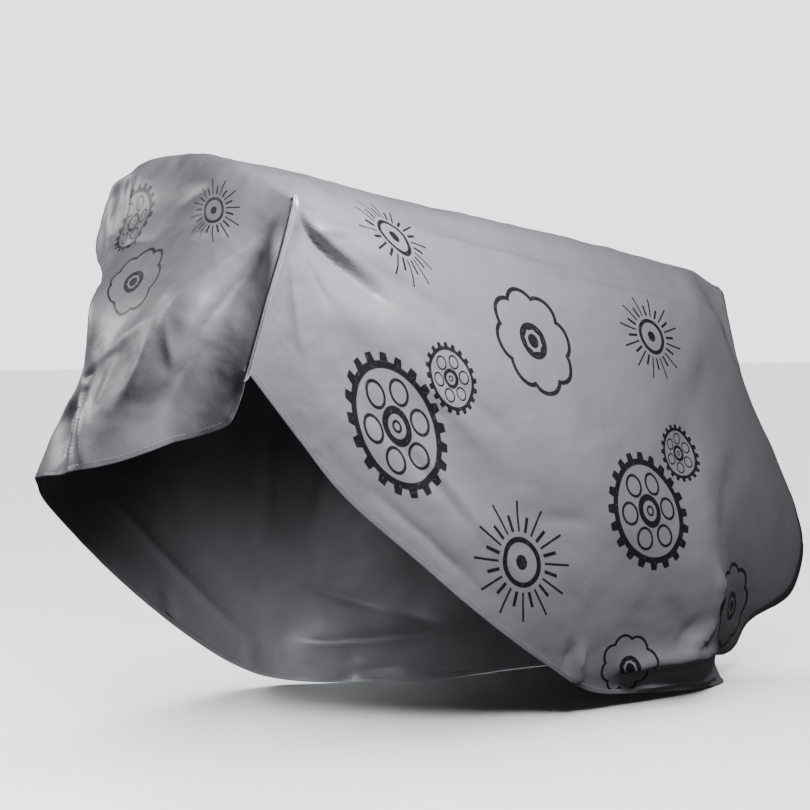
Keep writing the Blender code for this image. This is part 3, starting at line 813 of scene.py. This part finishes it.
hem = makeHem()
hemStitches = threadRow(
    "hemStitches", edgePoints, edgeNormals, edgeInward, hemShape["stitchInset"],
    (sheetShape["thickness"] + hemShape["threadLift"], -hemShape["threadLift"]), True,
)
print("hem:", len(edgePoints), "stations,", len(hemStitches.data.polygons), "stitch faces")

# the raised seam at the front
seamShape = {
    "width": 0.0105,
    "thickness": 0.0018,
    "lean": 1.6,
    "grooveAt": 0.0052,
    "grooveDepth": 0.0005,
    "grooveHalf": 0.0007,
    "edgeRound": 0.0006,
    "clear": 0.0006,           # gap between the film and the strip
    "stations": 120,
    "tabLength": 0.016,        # the small folded end below the seam's foot
    "tabSteps": 8,
    "tabTurn": 0.9,
    "tabNarrowing": 0.45,
}


def seamStations():
    points = np.array([vert.co for vert in seamVerts])[::-1]
    normals = np.array([vert.normal for vert in seamVerts])[::-1]
    into = [(bodyVerts[1, j].co - seamVerts[j].co).normalized() for j in range(nearRows + 1)]
    into = np.array(into)[::-1]
    places = runLengths(points)
    wanted = np.linspace(0, places[-1], seamShape["stations"])
    points = smoothThrough(places, points, wanted)
    normals = smoothThrough(places, normals, wanted)
    into = smoothThrough(places, into, wanted)
    normals = normals / np.linalg.norm(normals, axis=1)[:, None]
    return points, normals, into / np.linalg.norm(into, axis=1)[:, None]


def makeSeam():
    points, normals, into = seamStations()
    tangent = points[-1] - points[-2]
    tangent /= np.linalg.norm(tangent)
    count = seamShape["tabSteps"]
    for _ in range(count):
        points = np.vstack([points, points[-1] + tangent * seamShape["tabLength"] / count])
        normals = np.vstack([normals, normals[-1]])
        into = np.vstack([into, into[-1]])
    half = seamShape["thickness"] / 2
    width = seamShape["width"]
    shoulder = width - seamShape["edgeRound"]
    groove = seamShape["grooveAt"]
    grooveHalf = seamShape["grooveHalf"]
    profile = (
        (0.0, -half), (width * 0.5, -half), (shoulder, -half), (width, -half * 0.4),
        (width, half * 0.4), (shoulder, half), (groove + grooveHalf, half),
        (groove, half - seamShape["grooveDepth"]), (groove - grooveHalf, half), (0.0, half),
    )
    rings = []
    roots = []
    tops = []
    leans = []
    for k in range(len(points)):
        turn = max(0.0, (k - seamShape["stations"] + 1) / count)
        lean = into[k] * seamShape["lean"] * (1 - seamShape["tabTurn"] * turn) + normals[k]
        lean /= np.linalg.norm(lean)
        forward = points[min(k + 1, len(points) - 1)] - points[max(k - 1, 0)]
        forward /= np.linalg.norm(forward)
        top = np.cross(forward, lean)
        top /= np.linalg.norm(top)
        if top @ normals[k] < 0:
            top = -top
        root = points[k] + normals[k] * (sheetShape["thickness"] + half + seamShape["clear"])
        narrowing = 1 - seamShape["tabNarrowing"] * turn
        rings.append([root + lean * d * narrowing + top * n for d, n in profile])
        roots.append(root)
        tops.append(top)
        leans.append(lean)
    strip = tubeFromSections("seamFold", rings, False)
    return strip, np.array(roots), np.array(tops), np.array(leans)


seam, seamRoots, seamTops, seamLeans = makeSeam()
seamStitches = threadRow(
    "seamStitches", seamRoots, seamTops, seamLeans, seamShape["grooveAt"],
    (seamShape["thickness"] / 2 - seamShape["grooveDepth"] * 0.5,), False,
)
print("seam:", len(seamRoots), "stations")

# everything so far is in table coordinates; the part hangs from its mount
for piece in (film, hem, hemStitches, seam, seamStitches):
    piece.data.transform(Matrix.Translation(-mount))

# finishes, with colours as red, green, blue and 1
filmFinish = {
    "silver": (0.235, 0.238, 0.258, 1),
    "silverPale": (0.275, 0.279, 0.301, 1),
    # the inside face: the silver darkened, as painted shade for the cover's inside
    "inside": (0.190, 0.195, 0.210, 1),
    "shadedInsidePale": (0.240, 0.245, 0.262, 1),
    # paler than the film: painted highlight along the raised seam
    "seam": (0.400, 0.408, 0.435, 1),
    "hem": (0.275, 0.280, 0.300, 1),
    "thread": (0.190, 0.195, 0.210, 1),
    "print": (0.012, 0.012, 0.016, 1),
    "soiled": (0.200, 0.205, 0.220, 1),
    "metallic": 0.15,
    "insideMetallic": 0.25,
    "edgeMetallic": 0.30,
    "roughness": 0.46,
    "insideRoughness": 0.53,
    "hemRoughness": 0.42,
    "seamRoughness": 0.40,
    "threadRoughness": 0.75,
    "edgeShade": 0.72,         # darkest share of a finish's own colour
    "threadShade": 0.6,
    "crinkleHeight": 0.004,
    "weaveShare": 0.05,
    "glossScale": 12.0,        # noise scales, in features per metre
    "insideGlossScale": 14.0,
    "edgeGlossScale": 40.0,
    "edgeTintScale": 60.0,
    "cloudScale": 3.2,
    "insideCloudScale": 4.0,
    "crinkleScale": 38.0,
    "wornScale": 160.0,
    "weaveScale": 420.0,
    "grainScale": 900.0,
    "twistScale": 1800.0,
    "crinkle": 0.22,
    "edgeCrinkle": 0.30,
}


def addNode(tree, kind, **values):
    node = tree.nodes.new(kind)
    for key, value in values.items():
        setattr(node, key, value)
    return node


def feed(tree, socket, value):
    if isinstance(value, bpy.types.NodeSocket):
        tree.links.new(value, socket)
    else:
        socket.default_value = value


def reckon(tree, operation, first, second=None, third=None):
    node = addNode(tree, "ShaderNodeMath", operation=operation)
    feed(tree, node.inputs[0], first)
    if second is not None:
        feed(tree, node.inputs[1], second)
    if third is not None:
        feed(tree, node.inputs[2], third)
    return node.outputs[0]


def mixColour(tree, share, first, second):
    node = addNode(tree, "ShaderNodeMix", data_type="RGBA")
    feed(tree, node.inputs[0], share)
    feed(tree, node.inputs[6], first)
    feed(tree, node.inputs[7], second)
    return node.outputs[2]


def noiseAt(tree, vector, scale, detail, roughness=0.5):
    node = addNode(tree, "ShaderNodeTexNoise")
    tree.links.new(vector, node.inputs["Vector"])
    node.inputs["Scale"].default_value = scale
    node.inputs["Detail"].default_value = detail
    node.inputs["Roughness"].default_value = roughness
    return node.outputs[0]


def times(tree, first, second):
    return reckon(tree, "MULTIPLY", first, second)


def reachOf(tree, across, up):
    # the distance from the middle
    return reckon(tree, "SQRT", reckon(tree, "ADD", times(tree, across, across), times(tree, up, up)))


def rangeOf(tree, value, low, high, newLow=0.0, newHigh=1.0):
    node = addNode(tree, "ShaderNodeMapRange")
    feed(tree, node.inputs[0], value)
    for k, number in enumerate((low, high, newLow, newHigh)):
        node.inputs[k + 1].default_value = number
    return node.outputs[0]


def startGroup(name):
    # a motif's own node group, with its distance from the middle (1 at its radius) and its angle
    group = bpy.data.node_groups.new(name, "ShaderNodeTree")
    for label, kind in (("Place", "NodeSocketVector"), ("X", "NodeSocketFloat"), ("Y", "NodeSocketFloat"),
                        ("Radius", "NodeSocketFloat"), ("Turn", "NodeSocketFloat")):
        group.interface.new_socket(label, in_out="INPUT", socket_type=kind)
    group.interface.new_socket("Ink", in_out="OUTPUT", socket_type="NodeSocketFloat")
    source = group.nodes.new("NodeGroupInput")
    result = group.nodes.new("NodeGroupOutput")
    split = group.nodes.new("ShaderNodeSeparateXYZ")
    group.links.new(source.outputs["Place"], split.inputs[0])
    radius = source.outputs["Radius"]
    across = reckon(group, "SUBTRACT", split.outputs[0], source.outputs["X"])
    across = reckon(group, "DIVIDE", across, radius)
    up = reckon(group, "SUBTRACT", split.outputs[1], source.outputs["Y"])
    up = reckon(group, "DIVIDE", up, radius)
    angle = reckon(group, "ADD", reckon(group, "ARCTAN2", up, across), source.outputs["Turn"])
    return group, result, reachOf(group, across, up), angle


def inkBand(tree, value, centre, half, soft=0.006):
    # 1 within half of centre, with a soft edge
    off = reckon(tree, "ABSOLUTE", reckon(tree, "SUBTRACT", value, centre))
    return rangeOf(tree, off, half - soft, half + soft, 1.0, 0.0)


def most(tree, values):
    total = values[0]
    for value in values[1:]:
        total = reckon(tree, "MAXIMUM", total, value)
    return total


def aroundTurn(tree, angle, count):
    # the angle from the nearest of count even directions
    sector = 2 * math.pi / count
    return reckon(tree, "SUBTRACT", reckon(tree, "FLOORED_MODULO", angle, sector), sector / 2)


def petals(tree, out, angle, count, reach, size, half):
    # a ring of count small circles at the given reach
    turned = aroundTurn(tree, angle, count)
    across = reckon(tree, "SUBTRACT", times(tree, out, reckon(tree, "COSINE", turned)), reach)
    up = times(tree, out, reckon(tree, "SINE", turned))
    return inkBand(tree, reachOf(tree, across, up), size, half)


def rays(tree, out, angle, count, low, high, half):
    # count straight strokes from low to high
    sideways = times(tree, out, reckon(tree, "SINE", aroundTurn(tree, angle, count)))
    line = inkBand(tree, sideways, 0.0, half, 0.005)
    inside = rangeOf(tree, out, low, low + 0.01)
    outside = rangeOf(tree, out, high, high + 0.01, 1.0, 0.0)
    return times(tree, line, times(tree, inside, outside))


def toothedRing():
    # twenty square teeth round a rim, six round holes and two rings in the middle
    group, result, out, angle = startGroup("toothedRing")
    wave = reckon(group, "SINE", times(group, angle, 20.0))
    edge = rangeOf(group, wave, -0.30, 0.30, 0.86, 0.97)
    off = reckon(group, "SUBTRACT", edge, out)
    rim = times(group, rangeOf(group, off, 0.0, 0.012), rangeOf(group, out, 0.745, 0.757))
    ink = most(group, [rim, petals(group, out, angle, 6, 0.49, 0.17, 0.024),
                       inkBand(group, out, 0.22, 0.055), inkBand(group, out, 0.07, 0.020)])
    group.links.new(ink, result.inputs[0])
    return group


def rosette():
    # eight overlapping rings round a dark centre
    group, result, out, angle = startGroup("rosette")
    ink = most(group, [petals(group, out, angle, 8, 0.58, 0.35, 0.040), inkBand(group, out, 0.0, 0.13),
                       inkBand(group, out, 0.30, 0.030)])
    group.links.new(ink, result.inputs[0])
    return group


def burst():
    # long and short strokes by turns round a ring with a dark centre
    group, result, out, angle = startGroup("burst")
    ink = most(group, [inkBand(group, out, 0.36, 0.045), rays(group, out, angle, 12, 0.48, 0.74, 0.030),
                       rays(group, out, reckon(group, "ADD", angle, math.pi / 12), 12, 0.48, 0.97, 0.020),
                       inkBand(group, out, 0.0, 0.12)])
    group.links.new(ink, result.inputs[0])
    return group


# A generic print. Each motif is placed in the flat cloth's own metres.
Motif = namedtuple("Motif", "kind x y radius turn")
printLayout = (
    Motif("toothedRing", 0.330, -0.560, 0.110, 0.0),
    Motif("toothedRing", 0.435, -0.435, 0.058, 0.1),
    Motif("burst", 0.330, -0.250, 0.080, 0.2),
    Motif("rosette", 0.640, -0.300, 0.100, 0.1),
    Motif("burst", 0.600, -0.700, 0.110, 0.4),
    Motif("toothedRing", 0.900, -0.560, 0.115, 0.3),
    Motif("toothedRing", 1.015, -0.430, 0.060, 0.0),
    Motif("burst", 0.960, -0.210, 0.085, 0.6),
    Motif("rosette", 1.180, -0.720, 0.095, 0.3),
    Motif("rosette", 0.880, -0.870, 0.070, 0.0),
    Motif("toothedRing", 0.180, 0.480, 0.110, 0.6),
    Motif("burst", 0.420, 0.760, 0.110, 0.1),
    Motif("rosette", 0.600, 0.360, 0.105, 0.2),
    Motif("toothedRing", 0.760, 0.760, 0.110, 0.9),
    Motif("burst", 0.960, 0.420, 0.095, 0.5),
    Motif("rosette", 1.120, 0.760, 0.105, 0.0),
    Motif("rosette", frontChart - 0.330, -0.300, 0.085, 0.3),
    Motif("burst", frontChart - 0.170, -0.120, 0.075, 0.0),
    Motif("toothedRing", frontChart - 0.460, -0.130, 0.075, 0.4),
)


def printInk(tree, place):
    kinds = {"toothedRing": toothedRing(), "rosette": rosette(), "burst": burst()}
    inks = []
    for motif in printLayout:
        node = addNode(tree, "ShaderNodeGroup", node_tree=kinds[motif.kind])
        tree.links.new(place, node.inputs["Place"])
        for label, value in zip(("X", "Y", "Radius", "Turn"), motif[1:]):
            node.inputs[label].default_value = value
        inks.append(node.outputs[0])
    return most(tree, inks)


def newMaterial(name):
    # with its nodes, its surface and the place on the object
    material = bpy.data.materials.new(name)
    material.use_nodes = True
    tree = material.node_tree
    place = addNode(tree, "ShaderNodeTexCoord").outputs["Object"]
    return material, tree, tree.nodes["Principled BSDF"], place


def crinkleBump(tree, surface, place, strength):
    # soft crinkles with a fine coated weave under them
    crinkle = noiseAt(tree, place, filmFinish["crinkleScale"], 5.0, 0.6)
    weave = addNode(tree, "ShaderNodeTexVoronoi", feature="F1")
    tree.links.new(place, weave.inputs["Vector"])
    weave.inputs["Scale"].default_value = filmFinish["weaveScale"]
    fine = times(tree, weave.outputs["Distance"], filmFinish["weaveShare"])
    bump = addNode(tree, "ShaderNodeBump")
    bump.inputs["Strength"].default_value = strength
    bump.inputs["Distance"].default_value = filmFinish["crinkleHeight"]
    tree.links.new(reckon(tree, "ADD", crinkle, fine), bump.inputs["Height"])
    tree.links.new(bump.outputs[0], surface.inputs["Normal"])


def unevenGloss(tree, surface, place, scale, detail, low, high):
    rough = rangeOf(tree, noiseAt(tree, place, scale, detail), 0.3, 0.7, low, high)
    tree.links.new(rough, surface.inputs["Roughness"])


def silverFilm():
    material, tree, surface, place = newMaterial("silverFilm")
    cloud = rangeOf(tree, noiseAt(tree, place, filmFinish["cloudScale"], 4.0), 0.35, 0.68)
    base = mixColour(tree, cloud, filmFinish["silver"], filmFinish["silverPale"])
    grain = rangeOf(tree, noiseAt(tree, place, filmFinish["grainScale"], 2.0), 0.3, 0.7, 0.10, 0.0)
    base = mixColour(tree, grain, base, filmFinish["soiled"])
    flat = addNode(tree, "ShaderNodeUVMap", uv_map="flatCloth")
    worn = rangeOf(tree, noiseAt(tree, place, filmFinish["wornScale"], 3.0), 0.25, 0.42, 0.80, 1.0)
    ink = times(tree, printInk(tree, flat.outputs[0]), worn)
    tree.links.new(mixColour(tree, ink, base, filmFinish["print"]), surface.inputs["Base Color"])
    surface.inputs["Metallic"].default_value = filmFinish["metallic"]
    middle = filmFinish["roughness"]
    unevenGloss(tree, surface, place, filmFinish["glossScale"], 3.0, middle - 0.05, middle + 0.07)
    crinkleBump(tree, surface, place, filmFinish["crinkle"])
    return material


# the inside face's finish, darker than the silver as painted shade
def shadedInsideFilm():
    material, tree, surface, place = newMaterial("shadedInsideFilm")
    cloud = rangeOf(tree, noiseAt(tree, place, filmFinish["insideCloudScale"], 4.0), 0.35, 0.68)
    base = mixColour(tree, cloud, filmFinish["inside"], filmFinish["shadedInsidePale"])
    tree.links.new(base, surface.inputs["Base Color"])
    surface.inputs["Metallic"].default_value = filmFinish["insideMetallic"]
    middle = filmFinish["insideRoughness"]
    unevenGloss(tree, surface, place, filmFinish["insideGlossScale"], 3.0, middle - 0.05, middle + 0.07)
    crinkleBump(tree, surface, place, filmFinish["crinkle"])
    return material


def shaded(colour, share):
    return tuple(c * share for c in colour[:3]) + (1,)


def edgeFilm(name, colour, roughness):
    material, tree, surface, place = newMaterial(name)
    tint = rangeOf(tree, noiseAt(tree, place, filmFinish["edgeTintScale"], 3.0), 0.3, 0.7, 0.0, 0.35)
    darker = shaded(colour, filmFinish["edgeShade"])
    tree.links.new(mixColour(tree, tint, colour, darker), surface.inputs["Base Color"])
    surface.inputs["Metallic"].default_value = filmFinish["edgeMetallic"]
    unevenGloss(tree, surface, place, filmFinish["edgeGlossScale"], 2.0, roughness - 0.05, roughness + 0.05)
    crinkleBump(tree, surface, place, filmFinish["edgeCrinkle"])
    return material


def threadFinish():
    material, tree, surface, place = newMaterial("stitchThread")
    twist = noiseAt(tree, place, filmFinish["twistScale"], 2.0)
    darker = shaded(filmFinish["thread"], filmFinish["threadShade"])
    tree.links.new(mixColour(tree, twist, filmFinish["thread"], darker), surface.inputs["Base Color"])
    surface.inputs["Roughness"].default_value = filmFinish["threadRoughness"]
    return material


film.data.materials.clear()
film.data.materials.append(silverFilm())
film.data.materials.append(shadedInsideFilm())
film.data.polygons.foreach_set("material_index", [0] * len(film.data.polygons))
film.data.shade_smooth()
wall = film.modifiers.new("filmThickness", "SOLIDIFY")
wall.thickness = sheetShape["thickness"]
wall.offset = 1
wall.material_offset = 1
wall.material_offset_rim = 0
hem.data.materials.append(edgeFilm("hemFilm", filmFinish["hem"], filmFinish["hemRoughness"]))
# the seam strip's pale colour is a painted highlight
seam.data.materials.append(edgeFilm("seamFilmPaintedHighlight", filmFinish["seam"], filmFinish["seamRoughness"]))
thread = threadFinish()
hemStitches.data.materials.append(thread)
seamStitches.data.materials.append(thread)
print("finishes done")

# every piece hangs from the root body, and the solids they stand for are hidden
for piece in (film, hem, hemStitches, seam, seamStitches):
    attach(piece, "root")
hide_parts("cover_sheet")
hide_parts("front_seam")

# floor, light and camera, with places and aims in table coordinates
studio = {
    "floorSize": 60.0,
    "floorDrop": 0.0005,       # the floor lies this far under the table plane
    "floorRoughness": 0.85,
    "floor": (0.86, 0.86, 0.87, 1),
    "backdrop": (0.93, 0.94, 0.97, 1),
    "backdropGlow": 0.07,      # what the backdrop gives the cloth
    "backdropSeen": 2.6,       # and how bright it looks
    "floorGlow": 6.5,
    "floorGlowSpread": 1.2,
    "lens": 57.78,
    "sensor": 36.0,
    "cameraPlace": (-0.63, -2.28, 0.75),
    "cameraAim": (0.4284, 0.9022, -0.0506),
}
Lamp = namedtuple("Lamp", "name place target side watts spread")
lamps = (
    Lamp("keyLight", (0.46, -1.27, 1.58), (0.08, -0.29, 0.92), 0.45, 35, 135),
    Lamp("leftLight", (-1.38, 1.04, 1.37), (-0.10, 0.0, 0.80), 0.60, 21, 180),
    Lamp("lowLight", (-0.95, -0.85, 0.16), (0.26, 0.32, 0.02), 0.20, 0.75, 30),
)


def makeFloor():
    half = studio["floorSize"] / 2
    mesh = bmesh.new()
    corners = ((-half, -half), (half, -half), (half, half), (-half, half))
    mesh.faces.new([mesh.verts.new((x, y, -mount.z - studio["floorDrop"])) for x, y in corners])
    data = bpy.data.meshes.new("studioFloor")
    mesh.to_mesh(data)
    mesh.free()
    material, _, surface, _ = newMaterial("floorPaint")
    surface.inputs["Base Color"].default_value = studio["floor"]
    surface.inputs["Roughness"].default_value = studio["floorRoughness"]
    data.materials.append(material)
    item = addObject("studioFloor", data)
    item.visible_diffuse = False     # no glow from the pale floor in the folds that face down
    item.visible_glossy = False
    return item


def softLight(lamp):
    data = bpy.data.lights.new(lamp.name, "AREA")
    data.shape = "SQUARE"
    data.size = lamp.side
    data.spread = math.radians(lamp.spread)
    data.energy = lamp.watts
    item = addObject(lamp.name, data)
    item.location = Vector(lamp.place) - mount
    aim = Vector(lamp.target) - Vector(lamp.place)
    item.rotation_euler = aim.to_track_quat("-Z", "Y").to_euler()


def floorLight(floor):
    # shines straight down, on the floor alone
    data = bpy.data.lights.new("floorLight", "SUN")
    data.energy = studio["floorGlow"]
    data.angle = studio["floorGlowSpread"]
    floorOnly = bpy.data.collections.new("floorOnly")
    floorOnly.objects.link(floor)
    addObject("floorLight", data).light_linking.receiver_collection = floorOnly


def makeBackdrop():
    # bright to the camera, and faint to the cloth
    world = bpy.data.worlds.new("studioWorld")
    world.use_nodes = True
    tree = world.node_tree
    backdrop = tree.nodes["Background"]
    backdrop.inputs[0].default_value = studio["backdrop"]
    seen = addNode(tree, "ShaderNodeLightPath")
    glow = rangeOf(tree, seen.outputs["Is Camera Ray"], 0.0, 1.0,
                   studio["backdropGlow"], studio["backdropSeen"])
    tree.links.new(glow, backdrop.inputs[1])
    bpy.context.scene.world = world


def makeCamera():
    data = bpy.data.cameras.new("photoCamera")
    data.lens = studio["lens"]
    data.sensor_width = studio["sensor"]
    camera = addObject("photoCamera", data)
    camera.location = Vector(studio["cameraPlace"]) - mount
    camera.rotation_euler = Vector(studio["cameraAim"]).to_track_quat("-Z", "Y").to_euler()
    bpy.context.scene.camera = camera


for lamp in lamps:
    softLight(lamp)
floorLight(makeFloor())
makeBackdrop()
makeCamera()
print("studio done")
